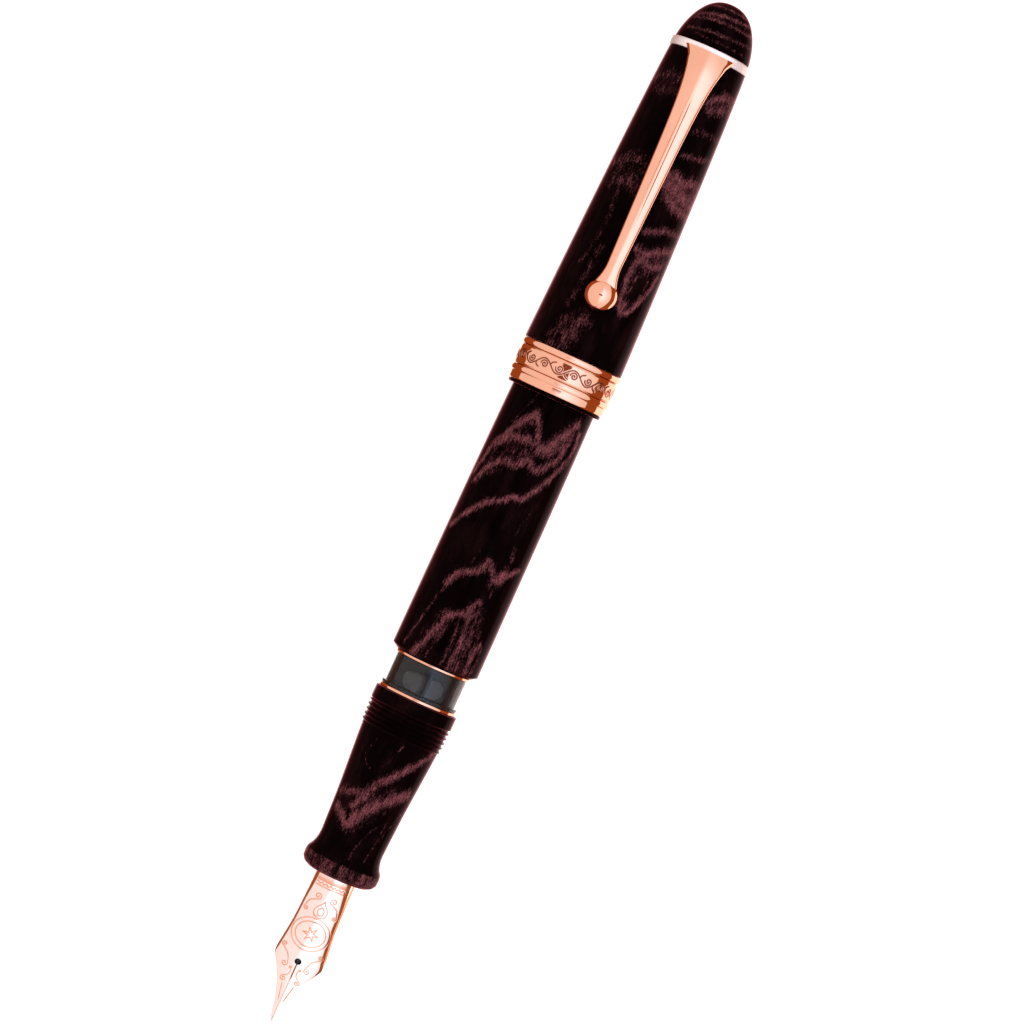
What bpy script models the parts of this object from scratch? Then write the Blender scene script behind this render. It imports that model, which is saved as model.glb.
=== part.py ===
"""Piston-filling fountain pen with its cap posted on the tail: every physical piece as its own solid.

Lengths below are millimetres; MM turns them into metres when a mesh is made. Stations (s) are measured along
the pen from the top of the cap's finial, where s = 0, to the tip of the nib, where s = LENGTH. In the world the
pen lies along X with the nib towards +X, the clip and the top of the nib towards +Z, and the cap band's
lowest facet on z = 0.
"""

import math

import bmesh
import bpy
from mathutils import Matrix, Vector

MM = 0.001

# Driving dimensions
LENGTH = 158.0  # cap posted, finial to nib tip
SIDES = 24  # facets round the outer shells, each wide enough to lie on
INNER_SIDES = 24  # facets round small and hidden turned pieces
BAND_R = 7.45
GAP = 0.05  # clearance between pieces that touch
RUNNING_GAP = 0.08  # clearance of turning and sliding pieces

# Stations of the cap
FINIAL_END = 7.15
COLLAR_END = 8.3
CAP_SHELL_END = 54.5
CENTRE_BAND = (55.55, 58.5)
FRONT_RING_END = 60.7
CAP_END = 61.2
INNER_CAP_END = 27.2
CLIP_START = 7.45
CLIP_RISE_END = 12.0
CLIP_NECK = 41.0
CLIP_BALL = 44.88
CLIP_END = 47.3

# Stations of the barrel, ink window, grip and nib
TAIL = 28.0
BARREL_START = 40.0
BARREL_END = 102.1
WINDOW = (102.65, 107.35)
SECTION = (107.95, 135.5)
NIB_BASE = 124.0
NIB_SHOULDER = 147.8
HOUSING = (103.9, 135.2)

# Radii shared by mating pieces
INK_BORE_R = 4.5
PEN_THREAD_R = 5.15  # tenons of the ink window
CAP_TENON_R = 6.85
CAP_MOUTH_R = 6.33
NECK_R = 3.8  # threaded neck that the finial screws on to
HOUSING_BORE_R = 3.0

# Piston mechanism
PISTON_HEAD = (66.0, 72.0)
PISTON_LEAD = 5.5  # travel for one turn of the knob
ROD_R = 2.35
ROD_FLAT = 1.8  # half the width across the rod's two flats
ROD_START = 31.0

AXIS_Z = BAND_R * math.cos(math.pi / SIDES)

RESIN = ("resin", (0.045, 0.008, 0.012), 0.06, 0.0)
BLACK = ("black_plastic", (0.012, 0.011, 0.011), 0.35, 0.0)
GOLD = ("rose_gold", (0.86, 0.55, 0.40), 0.12, 1.0)
NIB_GOLD = ("nib_gold", (0.90, 0.62, 0.45), 0.15, 1.0)
BRASS = ("brass", (0.72, 0.54, 0.28), 0.3, 1.0)
SMOKE = ("smoked_window", (0.05, 0.045, 0.045), 0.05, 0.0)
RUBBER = ("seal", (0.02, 0.02, 0.02), 0.6, 0.0)
TIPPING = ("tipping", (0.75, 0.74, 0.72), 0.2, 1.0)


def material(name, colour, roughness, metallic):
    """One Principled material for each finish, made the first time it is asked for."""
    made = bpy.data.materials.get(name)
    if made is None:
        made = bpy.data.materials.new(name)
        made.use_nodes = True
        shader = made.node_tree.nodes["Principled BSDF"]
        shader.inputs["Base Color"].default_value = (*colour, 1.0)
        shader.inputs["Roughness"].default_value = roughness
        shader.inputs["Metallic"].default_value = metallic
        if name == "smoked_window":
            shader.inputs["Alpha"].default_value = 0.6
    return made


def at(s, across=0.0, up=0.0):
    """A point on a piece whose origin lies on the pen's axis: station s, then mm to the side and up."""
    return Vector(((s - LENGTH / 2) * MM, across * MM, up * MM))


def finish(name, bm, finish_of, parent):
    """Turns a bmesh built about the pen's axis into the named object."""
    bmesh.ops.remove_doubles(bm, verts=bm.verts, dist=1e-6)
    bmesh.ops.recalc_face_normals(bm, faces=bm.faces)
    if bm.calc_volume(signed=True) < 0:
        bmesh.ops.reverse_faces(bm, faces=bm.faces)
    mesh = bpy.data.meshes.new(name)
    bm.to_mesh(mesh)
    bm.free()
    mesh.shade_smooth()
    mesh.set_sharp_from_angle(angle=math.radians(35))
    mesh.materials.append(material(*finish_of))
    obj = bpy.data.objects.new(name, mesh)
    bpy.context.collection.objects.link(obj)
    obj.parent = parent
    return obj


def turned(name, outline, finish_of, parent, sides=INNER_SIDES):
    """A piece turned about the pen's axis. The outline is (station, radius) points round its section: closed
    for a ring or tube, and open from axis to axis for a solid. A facet, not an edge, faces straight down."""
    bm = bmesh.new()
    half_step = Matrix.Rotation(math.pi / sides, 4, "X")
    verts = [bm.verts.new(half_step @ at(s, up=-r)) for s, r in outline]
    edges = [bm.edges.new(pair) for pair in zip(verts, verts[1:])]
    if all(r > 0 for _, r in outline):
        edges.append(bm.edges.new((verts[-1], verts[0])))
    bmesh.ops.spin(bm, geom=verts + edges, cent=(0, 0, 0), axis=(1, 0, 0), angle=math.tau, steps=sides)
    return finish(name, bm, finish_of, parent)


def tube(start, end, inner, outer):
    """Outline of a plain ring."""
    return [(start, inner), (start, outer), (end, outer), (end, inner)]


def bead(centre, half, inner, outer, points=5):
    """Outline of a ring whose outside is an arc."""
    arc = [math.pi * k / (points - 1) for k in range(points)]
    rim = outer - half
    crown = [(centre - half * math.cos(a), rim + half * math.sin(a)) for a in arc]
    return [(centre - half, inner), *crown, (centre + half, inner)]


def lofted(name, sections, finish_of, parent):
    """A closed skin over rings of points, each ring with the same number of points, capped at both ends."""
    bm = bmesh.new()
    rings = [[bm.verts.new(p) for p in ring] for ring in sections]
    count = len(rings[0])
    for first, second in zip(rings, rings[1:]):
        for k in range(count):
            after = (k + 1) % count
            bm.faces.new((first[k], first[after], second[after], second[k]))
    bm.faces.new(rings[0])
    bm.faces.new(rings[-1])
    return finish(name, bm, finish_of, parent)


def cutter(name, bm):
    """A hidden, closed shape that a Boolean subtracts."""
    obj = finish(name, bm, BLACK, None)
    obj.location.z = AXIS_Z * MM
    obj.hide_render = True
    obj.display_type = "WIRE"
    return obj


def box_bmesh(low, high):
    """A box between two corners given as (station, across, up)."""
    bm = bmesh.new()
    bmesh.ops.create_cube(bm, size=1.0)
    low, high = at(*low), at(*high)
    bmesh.ops.scale(bm, vec=high - low, verts=bm.verts)
    bmesh.ops.translate(bm, vec=(low + high) / 2, verts=bm.verts)
    return bm


def rod_bmesh(centre, radius, half_height):
    """An upright cylinder about a (station, across, up) centre."""
    bm = bmesh.new()
    bmesh.ops.create_cone(bm, cap_ends=True, segments=16, radius1=radius * MM, radius2=radius * MM,
                          depth=2 * half_height * MM, matrix=Matrix.Translation(at(*centre)))
    return bm


def cut(obj, *cutters):
    """Subtracts each cutter with an exact Boolean."""
    for tool in cutters:
        boolean = obj.modifiers.new(tool.name, "BOOLEAN")
        boolean.operation = "DIFFERENCE"
        boolean.solver = "EXACT"
        boolean.object = tool


def joint_frame(name, parent=None, location=(0.0, 0.0, 0.0)):
    """An empty that stands on a joint's axis and carries the moving pieces."""
    empty = bpy.data.objects.new(name, None)
    bpy.context.collection.objects.link(empty)
    empty.empty_display_size = 0.005
    empty.location = location
    empty.parent = parent
    return empty


# ---- Cap ----------------------------------------------------------------------------------------------------

def cap_radius(s):
    """Outside of the tapering cap shell: it swells from the clip ring to the band."""
    share = (s - COLLAR_END) / (CAP_SHELL_END - COLLAR_END)
    return 5.75 + 1.68 * share ** 0.74


def finial_radius(s):
    """Domed crown of the cap, a flattened ellipse."""
    return 5.72 * (1 - (1 - s / 8.0) ** 1.73) ** (1 / 2.33)


def make_finial(parent):
    stations = [0.0, 0.25, 0.85, 1.7, 2.8, 4.2, 5.8, FINIAL_END - GAP]
    dome = [(s, finial_radius(s)) for s in stations]
    socket = [(FINIAL_END - GAP, NECK_R + GAP), (3.3, NECK_R + GAP), (3.3, 0.0)]
    return turned("finial", dome + socket, RESIN, parent, SIDES)


def make_clip_collar(parent):
    flat = 0.3
    outline = [(FINIAL_END, NECK_R + GAP), (FINIAL_END, 5.75), (FINIAL_END + flat, 5.9),
               (COLLAR_END - flat, 5.9), (COLLAR_END, 5.8), (COLLAR_END, NECK_R + GAP)]
    return turned("clip_collar", outline, GOLD, parent, SIDES)


def make_cap_body(parent):
    """Tapering shell with a thinner tenon for the bands, a step for the inner cap and internal thread ridges."""
    start = COLLAR_END + GAP
    outside = [(s, cap_radius(s)) for s in (start, 14.0, 21.0, 30.0, 39.0, 47.0, CAP_SHELL_END)]
    tenon = [(CAP_SHELL_END, CAP_TENON_R), (CAP_END - 0.5, CAP_TENON_R), (CAP_END - 0.5, CAP_MOUTH_R)]
    threads = [(52.6, CAP_MOUTH_R), (52.4, 6.28)]
    for ridge in (51.8, 50.6, 49.4):
        threads += [(ridge + 0.3, 6.28), (ridge, 6.06), (ridge - 0.3, 6.28)]
    bore = [(48.6, 5.98), (INNER_CAP_END + 0.2, 5.8), (INNER_CAP_END + 0.2, 5.72), (25.9, 5.72), (25.9, 5.16),
            (start, 5.16)]
    return turned("cap_body", outside + tenon + threads + bore, RESIN, parent, SIDES)


def make_inner_cap(parent):
    """Sleeve that seals round the grip's rim when the pen is closed, with the neck that holds the finial."""
    end, rim = INNER_CAP_END, 5.67
    outline = [(3.45, 0.0), (3.45, NECK_R), (COLLAR_END + GAP, NECK_R), (COLLAR_END + GAP, 5.11), (25.95, 5.11),
               (25.95, rim), (end, rim), (end, 4.6), (26.4, 4.3), (10.2, 4.3), (8.6, 3.0), (4.6, 3.0), (4.6, 0.0)]
    return turned("inner_cap", outline, BLACK, parent)


def make_cap_bands(parent):
    """Rear ring, engraved centre band, front ring and the resin lip ring, stacked on the shell's tenon."""
    inner = CAP_TENON_R + GAP
    first, last = CENTRE_BAND
    rear = [(CAP_SHELL_END + GAP, inner), (CAP_SHELL_END + GAP, 7.35), (CAP_SHELL_END + 0.3, BAND_R),
            (first - 0.3, BAND_R), (first - GAP, 7.35), (first - GAP, inner)]
    turned("band_rear_ring", rear, GOLD, parent, SIDES)
    turned("band_centre", tube(first, last, inner, BAND_R), GOLD, parent, SIDES)
    shoulder = 59.5
    front = [(last + GAP, inner), (last + GAP, 7.35), (last + 0.3, BAND_R), (shoulder - 0.25, BAND_R),
             (shoulder, 7.3), (FRONT_RING_END - 0.2, 7.28), (FRONT_RING_END - GAP, 7.15),
             (FRONT_RING_END - GAP, inner)]
    turned("band_front_ring", front, GOLD, parent, SIDES)
    lip = [(FRONT_RING_END + 0.02, CAP_MOUTH_R), (FRONT_RING_END + 0.02, 7.05), (CAP_END - 0.15, 7.05),
           (CAP_END, 6.9), (CAP_END, CAP_MOUTH_R)]
    turned("cap_lip_ring", lip, RESIN, parent, SIDES)


def clip_half_width(s):
    """Half the clip's width: a flared foot, a long taper to the neck, then the rounded ball."""
    flare, neck = 9.2, 1.05
    if s <= flare:
        return 2.75 + 1.8 * ((flare - s) / (flare - CLIP_START)) ** 2
    if s <= CLIP_NECK:
        share = (CLIP_NECK - s) / (CLIP_NECK - flare)
        return neck + 0.85 * share + 0.85 * share ** 9
    ball = CLIP_END - CLIP_BALL
    round_part = ball * math.sqrt(max(0.0, 1 - ((s - CLIP_BALL) / ball) ** 2))
    return max(neck * (CLIP_END - s) / (CLIP_END - CLIP_NECK), round_part)


def clip_under(s):
    """Height of the clip's underside above the axis."""
    if s <= CLIP_RISE_END:
        return 5.95 + 1.1 * math.sin(math.pi / 2 * (s - CLIP_START) / (CLIP_RISE_END - CLIP_START))
    if s <= CLIP_NECK:
        return 7.05 + 1.25 * (s - CLIP_RISE_END) / (CLIP_NECK - CLIP_RISE_END)
    return 7.33 + 0.97 * ((s - CLIP_BALL) / (CLIP_BALL - CLIP_NECK)) ** 2


def clip_top(s):
    """Height of the clip's upper face above the axis."""
    if s <= CLIP_RISE_END:
        return 6.95 + 1.1 * math.sin(math.pi / 2 * (s - CLIP_START) / (CLIP_RISE_END - CLIP_START))
    if s <= CLIP_NECK:
        return 8.05 + 1.25 * (s - CLIP_RISE_END) / (CLIP_NECK - CLIP_RISE_END)
    dome = max(0.0, 1 - ((s - CLIP_BALL) / (CLIP_END - CLIP_BALL)) ** 2)
    return 9.2 + 1.1 * math.sqrt(dome) if s > CLIP_BALL else 9.3 + 1.0 * math.sqrt(dome)


def make_clip_arm(parent):
    """Tapering spring arm with a domed ball, standing on the clip collar."""
    stations = [CLIP_START, 8.3, 9.2, 10.4, CLIP_RISE_END, 16.0, 24.0, 33.0, CLIP_NECK, 42.2, 43.0, 44.0,
                CLIP_BALL, 45.8, 46.6, CLIP_END - 0.15]
    sides = 12
    sections = []
    for s in stations:
        low, high = clip_under(s), clip_top(s)
        width = clip_half_width(s)
        ring = []
        for k in range(sides):
            angle = math.tau * (k + 0.5) / sides
            across = width * math.copysign(abs(math.cos(angle)) ** 0.6, math.cos(angle))
            up = (low + high) / 2 + (high - low) / 2 * math.sin(angle)
            ring.append(at(s, across, up) - Vector((parent.location.x, 0, parent.location.z)))
        sections.append(ring)
    return lofted("clip_arm", sections, GOLD, parent)


# ---- Barrel, ink window and grip ----------------------------------------------------------------------------

def barrel_radius(s):
    """Outside of the barrel: nearly parallel in front, tapering ever faster to the tail."""
    back = (BARREL_END - s) / (BARREL_END - BARREL_START)
    return 6.57 - 0.33 * back - 0.94 * back ** 5


def make_barrel(parent):
    stations = (BARREL_START, 43.0, 47.0, 52.0, 58.0, 66.0, 80.0, BARREL_END - 0.6)
    outside = [(s, barrel_radius(s)) for s in stations]
    front = [(BARREL_END, 5.8), (BARREL_END, PEN_THREAD_R + GAP), (98.0, PEN_THREAD_R + GAP), (98.0, INK_BORE_R)]
    rear = [(60.2, INK_BORE_R), (60.2, 4.8), (BARREL_START, 4.8)]
    return turned("barrel", outside + front + rear, RESIN, parent, SIDES)


def make_ink_window(parent):
    """Clear ring that shows the ink, with a tenon at each end and a flange at the front."""
    start, end = WINDOW
    flange = end - 0.55
    outside = [(98.5, PEN_THREAD_R), (start, PEN_THREAD_R), (start, 5.32), (flange, 5.32), (flange, 5.75),
               (end, 5.75), (end, PEN_THREAD_R), (110.0, PEN_THREAD_R)]
    turned("ink_window", outside + [(110.0, INK_BORE_R), (98.5, INK_BORE_R)], SMOKE, parent, SIDES)
    over_tenon = PEN_THREAD_R + GAP
    turned("window_ring_rear", tube(BARREL_END + GAP, start - GAP, over_tenon, 5.62), GOLD, parent, SIDES)
    turned("window_ring_front", tube(end + GAP, SECTION[0] - GAP, over_tenon, 5.85), GOLD, parent, SIDES)
    turned("window_seal_rear", tube(98.05, 98.45, INK_BORE_R + 0.05, PEN_THREAD_R), RUBBER, parent)
    turned("window_seal_front", tube(110.05, 110.45, INK_BORE_R + 0.05, PEN_THREAD_R), RUBBER, parent)


def make_grip_section(parent):
    """Grip with the thread ridges that hold the cap, a waist, and a flared rim."""
    start, end = SECTION
    outside = [(start, 6.18), (109.95, 6.18)]
    ridge_radii = (6.21, 6.19, 6.16, 6.12, 6.07)
    for k, crest in enumerate(ridge_radii):
        centre = 110.4 + 0.73 * k
        outside += [(centre - 0.33, 5.85), (centre, crest)]
    outside += [(113.8, 5.85), (113.85, 5.8), (117.3, 5.56), (122.4, 5.2), (127.5, 4.92), (130.0, 4.78),
                (131.3, 4.9), (132.2, 5.2), (132.9, 5.62), (133.6, 5.72), (134.4, 5.6), (135.1, 5.1), (end, 4.4)]
    bore = HOUSING_BORE_R + 0.6
    inside = [(end, bore), (113.9, bore), (113.9, 4.2), (110.5, 4.2), (110.5, PEN_THREAD_R + GAP),
              (start, PEN_THREAD_R + GAP)]
    return turned("grip_section", outside + inside, RESIN, parent, SIDES)


# ---- Nib unit -----------------------------------------------------------------------------------------------

def nib_top(s):
    """Height of the nib's upper face above the axis: level in the housing, then falling to the tip."""
    if s <= 136.0:
        return 2.95
    share = (s - 136.0) / (LENGTH - 136.0)
    return 2.95 - 2.5 * share ** 1.35


def nib_half_width(s):
    """Half the nib's width: parallel base, widening shoulders, then concave flanks to the point."""
    if s <= 136.0:
        return 2.94
    if s <= NIB_SHOULDER:
        share = (s - 136.0) / (NIB_SHOULDER - 136.0)
        return 2.94 + 0.76 * share ** 1.8
    share = (s - NIB_SHOULDER) / (LENGTH - NIB_SHOULDER)
    shoulder = 0.12 * math.sqrt(1 - min(1.0, share / 0.12) ** 2)
    return 0.32 + 3.26 * (1 - share) ** 1.85 * (1 - 0.12 * share) + shoulder


def nib_section(s, thickness):
    """Ring of points round the nib's sheet at a station: outer arc one way, inner arc back."""
    half = nib_half_width(s)
    wrap = 88.0 if s <= 136.0 else 88.0 - 30.0 * min(1.0, (s - 136.0) / (NIB_SHOULDER - 136.0))
    wrap = math.radians(wrap if s <= NIB_SHOULDER else 58.0 - 10.0 * (s - NIB_SHOULDER) / 10.2)
    radius = half / math.sin(wrap)
    centre = nib_top(s) - radius
    steps = 8
    angles = [wrap * (2 * k / steps - 1) for k in range(steps + 1)]
    outer = [at(s, radius * math.sin(a), centre + radius * math.cos(a)) for a in angles]
    drop = min(1.0, max(0.0, (s - NIB_SHOULDER) / 4.0))  # the under face turns from concentric to parallel below
    inner = []
    for a in reversed(angles):
        concentric = at(s, (radius - thickness) * math.sin(a), centre + (radius - thickness) * math.cos(a))
        below = at(s, 0.9 * radius * math.sin(a), centre + radius * math.cos(a) - thickness)
        inner.append(concentric.lerp(below, drop))
    return outer + inner


def make_nib(parent):
    """Curved sheet, thicker towards the point, with a breather hole and a slit."""
    stations = [NIB_BASE, 136.0, 139.0, 142.0, 145.0, 146.6, NIB_SHOULDER, 148.5, 149.3, 150.4, 151.8, 153.4,
                155.0, 156.4, 157.1]
    sections = [nib_section(s, 0.32 + 0.02 * max(0.0, s - 146.0)) for s in stations]
    nib = lofted("nib", sections, NIB_GOLD, parent)
    hole = cutter("nib_hole_cutter", rod_bmesh((148.5, 0, 2.0), 0.45, 3.0))
    slit = cutter("nib_slit_cutter", box_bmesh((148.5, -0.05, -3.0), (157.6, 0.05, 5.0)))
    cut(nib, hole, slit)
    ball = 0.42
    bm = bmesh.new()
    place = Matrix.Translation(at(LENGTH - ball, 0, 0.35)) @ Matrix.Diagonal((1.0, 1.0, 0.85, 1.0))
    bmesh.ops.create_icosphere(bm, subdivisions=2, radius=ball * MM, matrix=place)
    finish("nib_tipping", bm, TIPPING, parent)


def make_feed(parent):
    """Ink feed: a round stem in the housing, then a finned tongue that tapers up under the nib."""
    stem = 2.55
    sides = 14
    sections = []
    stations = [116.0, 136.2, 141.0, 145.0, 148.0, 150.2, 151.6]
    for s in stations:
        share = max(0.0, (s - 136.2) / (151.6 - 136.2))
        top = stem if s <= 136.2 else nib_top(s) - 0.32 - 0.16 - 0.5 * share
        bottom = -stem + 2.6 * share ** 1.6
        half = stem * (1 - share) ** 0.55 + 0.75 * share
        ring = []
        for k in range(sides):
            angle = math.tau * (k + 0.5) / sides
            ring.append(at(s, half * math.cos(angle), (top + bottom) / 2 + (top - bottom) / 2 * math.sin(angle)))
        sections.append(ring)
    feed = lofted("feed", sections, BLACK, parent)
    for k in range(6):
        low = 137.4 + 1.5 * k
        height = -0.9 + 0.15 * k
        cut(feed, cutter(f"feed_fin_cutter_{k}", box_bmesh((low, -4.0, -4.0), (low + 0.7, 4.0, height - 0.6))))
    return feed


def make_nib_unit(parent):
    """Screw-in housing, whose domed rear end stands in the ink window, with the feed and nib in its bore."""
    start, end = HOUSING
    port, floor = 0.7, 115.6
    dome = [(start, port), (start + 0.25, 1.8), (start + 0.9, 2.75), (start + 2.0, 3.25), (start + 3.2, 3.35)]
    barrel = [(112.6, 3.35), (113.9, 3.5), (end, 3.5), (end, HOUSING_BORE_R), (floor, HOUSING_BORE_R)]
    turned("nib_housing", dome + barrel + [(floor, 2.0), (start + 1.6, port)], BLACK, parent)
    make_nib(parent)
    make_feed(parent)


# ---- Piston mechanism ---------------------------------------------------------------------------------------

def make_piston_rod(parent):
    """Rod with two flats that slide in the guide, and a two-start thread on its round sides."""
    sides, spacing = 12, PISTON_LEAD / 8
    count = round((PISTON_HEAD[0] - ROD_START) / spacing)
    sections = []
    for j in range(count + 1):
        s = ROD_START + j * (PISTON_HEAD[0] - GAP - ROD_START) / count
        ring = []
        for k in range(sides):
            angle = math.tau * (k + 0.5) / sides
            wave = math.cos(2 * (angle - math.tau * s / PISTON_LEAD))
            radius = min(ROD_R - 0.22 + 0.22 * wave, ROD_FLAT / max(abs(math.sin(angle)), 1e-6))
            ring.append(at(s, radius * math.cos(angle), radius * math.sin(angle)))
        sections.append(ring)
    return lofted("piston_rod", sections, BLACK, parent)


def make_piston_head(parent):
    """Piston with a groove at each end for its sealing ring."""
    rear, front = PISTON_HEAD
    land, groove, width = INK_BORE_R - 0.2, 3.5, 1.1
    outline = [(rear, 0.0), (rear, land), (rear + 0.7, land), (rear + 0.7, groove), (rear + 0.7 + width, groove),
               (rear + 0.7 + width, land), (front - 0.7 - width, land), (front - 0.7 - width, groove),
               (front - 0.7, groove), (front - 0.7, land), (front, land - 0.4), (front, 0.0)]
    turned("piston_head", outline, BLACK, parent)
    seal_r = INK_BORE_R * math.cos(math.pi / SIDES) - 0.03
    for name, start in (("piston_seal_rear", rear + 0.7), ("piston_seal_front", front - 0.7 - width)):
        middle = start + width / 2
        turned(name, bead(middle, width / 2 - GAP, groove + GAP, seal_r), RUBBER, parent)


def make_piston_guide(parent):
    """Fixed collar in the barrel whose flat-sided hole keeps the rod from turning."""
    guide = turned("piston_guide", [(54.6, 0.0), (54.6, 4.72), (60.1, 4.72), (60.1, 0.0)], BLACK, parent)
    wide, tall = ROD_R + RUNNING_GAP, ROD_FLAT + RUNNING_GAP
    cut(guide, cutter("guide_hole_cutter", box_bmesh((53.0, -wide, -tall), (62.0, wide, tall))))
    return guide


def make_retainers(parent):
    """Washer that the sleeve's flange turns on, and the threaded nut that shuts the mechanism in."""
    turned("thrust_washer", tube(54.0, 54.5, ROD_R + 0.3, 4.7), BRASS, parent)
    turned("retaining_nut", tube(41.0, 51.3, 3.3, 4.72), BRASS, parent)


def make_knob_drive(parent):
    """Filling knob and the threaded sleeve fixed in it, which draws the rod in and out."""
    flange = 3.85
    sleeve = [(33.0, 2.55), (33.0, 3.2), (51.4, 3.2), (51.4, flange), (53.9, flange), (53.9, 2.55)]
    turned("drive_sleeve", sleeve, BRASS, parent)
    dome = [(TAIL, 0.0), (TAIL, 3.3), (TAIL + 0.35, 4.1), (TAIL + 1.2, 4.75), (TAIL + 3.0, 5.0),
            (BARREL_START - 0.6, 5.25), (BARREL_START - 0.1, 5.05)]
    inside = [(BARREL_START - 0.1, 3.2 + GAP), (32.9, 3.2 + GAP), (32.9, 2.6), (30.2, 2.6), (30.2, 0.0)]
    turned("knob", dome + inside, RESIN, parent, SIDES)


def build():
    for obj in list(bpy.data.objects):
        bpy.data.objects.remove(obj)
    axis = (0.0, 0.0, AXIS_Z * MM)
    pen = joint_frame("pen_frame", location=axis)
    cap = joint_frame("cap_slide_axis", location=axis)
    knob = joint_frame("knob_turn_axis", location=axis)
    piston = joint_frame("piston_slide_axis", location=axis)
    clip = joint_frame("clip_flex_axis", cap, at(CLIP_START, 0, 5.95))

    make_finial(cap)
    make_clip_collar(cap)
    make_cap_body(cap)
    make_inner_cap(cap)
    make_cap_bands(cap)
    make_clip_arm(clip)

    make_barrel(pen)
    make_ink_window(pen)
    make_grip_section(pen)
    make_nib_unit(pen)
    make_piston_guide(pen)
    make_retainers(pen)

    make_piston_rod(piston)
    make_piston_head(piston)
    make_knob_drive(knob)


build()
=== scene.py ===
"""Looks of the fountain pen: rose gold, veined dark resin, engraved nib and band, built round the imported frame.

Shapes are in millimetres. A station s runs along the pen from 0 at the crown to LENGTH at the nib's point,
across is world Y, and up is the height above the pen's axis. point() and placed() turn them into world metres.
"""

import math

import bmesh
import bpy
import numpy as np
from mathutils import Matrix, Vector


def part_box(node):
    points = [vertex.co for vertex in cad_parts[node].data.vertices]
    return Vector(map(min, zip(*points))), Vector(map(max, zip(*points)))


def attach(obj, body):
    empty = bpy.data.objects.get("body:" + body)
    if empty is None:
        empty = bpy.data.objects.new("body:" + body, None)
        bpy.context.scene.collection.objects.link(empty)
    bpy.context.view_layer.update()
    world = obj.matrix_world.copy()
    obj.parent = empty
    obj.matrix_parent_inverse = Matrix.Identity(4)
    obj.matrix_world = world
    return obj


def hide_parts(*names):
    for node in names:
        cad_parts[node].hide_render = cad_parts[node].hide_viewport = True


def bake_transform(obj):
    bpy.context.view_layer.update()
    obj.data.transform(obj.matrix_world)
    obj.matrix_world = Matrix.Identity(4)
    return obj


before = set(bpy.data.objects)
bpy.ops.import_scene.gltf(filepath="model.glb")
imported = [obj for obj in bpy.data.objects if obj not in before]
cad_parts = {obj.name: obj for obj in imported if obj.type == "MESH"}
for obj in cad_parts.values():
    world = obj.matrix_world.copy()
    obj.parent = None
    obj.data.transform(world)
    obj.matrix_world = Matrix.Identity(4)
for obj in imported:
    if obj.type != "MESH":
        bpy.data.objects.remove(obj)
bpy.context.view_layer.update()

MM = 0.001
LENGTH = 158.0
band_low, band_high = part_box("band_centre")
AXIS_Z = (band_low.z + band_high.z) / 2 / MM

BAND_RADIUS = 7.42       # engraved middle band of the cap
BALL_AT = 45.2           # station of the clip's ball
MEDALLION_AT = 144.2     # station of the nib's medallion
HOLE_AT, HOLE_RADIUS = 148.5, 0.46    # the nib's breather hole


# ---- Small helpers ------------------------------------------------------------------------------------------

def point(s, across=0.0, up=0.0):
    """World point in metres of one station, across and up."""
    return Vector(((s - LENGTH / 2) * MM, across * MM, (AXIS_Z + up) * MM))


def placed(s, across, up):
    """World points in metres of whole arrays of stations, across and up."""
    return np.stack([(s - LENGTH / 2) * MM, across * MM, (AXIS_Z + up) * MM], axis=1)


def node(tree, kind, inputs=(), **settings):
    """Adds a shader node. inputs maps a socket's name or number to a value or to another node's output."""
    made = tree.nodes.new(kind)
    for key, value in settings.items():
        setattr(made, key, value)
    for key, value in dict(inputs).items():
        if isinstance(value, bpy.types.NodeSocket):
            tree.links.new(value, made.inputs[key])
        else:
            made.inputs[key].default_value = value
    return made


def math_node(tree, operation, a, b=0.0, c=0.0):
    """Output of a Math node; MULTIPLY_ADD gives a * b + c."""
    return node(tree, "ShaderNodeMath", {0: a, 1: b, 2: c}, operation=operation).outputs[0]


def map_range(tree, value, start, end, low=0.0, high=1.0):
    """Smooth step from low to high as the value goes from start to end."""
    inputs = {"Value": value, "From Min": start, "From Max": end, "To Min": low, "To Max": high}
    return node(tree, "ShaderNodeMapRange", inputs, interpolation_type="SMOOTHSTEP").outputs[0]


def mix_colour(tree, factor, a, b):
    """Colour a at factor 0 and b at factor 1; each is an (r, g, b) or another node's output."""
    mixed = node(tree, "ShaderNodeMix", data_type="RGBA")
    for socket, value in ((mixed.inputs[0], factor), (mixed.inputs[6], a), (mixed.inputs[7], b)):
        if isinstance(value, bpy.types.NodeSocket):
            tree.links.new(value, socket)
        else:
            socket.default_value = value if socket == mixed.inputs[0] else (*value, 1.0)
    return mixed.outputs[2]


def noise(tree, vector, scale, detail=2.0, roughness=0.5):
    """Noise about 0.5."""
    inputs = {"Vector": vector, "Scale": scale, "Detail": detail, "Roughness": roughness}
    return node(tree, "ShaderNodeTexNoise", inputs).outputs[0]


def stretched(tree, along, across):
    """Object coordinates scaled differently along the pen and across it, in noise cells per metre."""
    where = node(tree, "ShaderNodeTexCoord").outputs["Object"]
    return node(tree, "ShaderNodeMapping", {"Vector": where, "Scale": (along, across, across)}).outputs[0]


def new_material(name, **sockets):
    """A Principled material whose constant values sit on the shader's own sockets."""
    made = bpy.data.materials.new(name)
    made.use_nodes = True
    shader = made.node_tree.nodes["Principled BSDF"]
    for key, value in sockets.items():
        shader.inputs[key.replace("_", " ")].default_value = value
    return made, made.node_tree, shader


def bump(tree, shader, height, distance):
    """Fine relief of the given depth in metres on the shader's normal."""
    inputs = {"Height": height, "Distance": distance, "Strength": 1.0}
    tree.links.new(node(tree, "ShaderNodeBump", inputs).outputs[0], shader.inputs["Normal"])


# ---- Materials ----------------------------------------------------------------------------------------------

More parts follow.
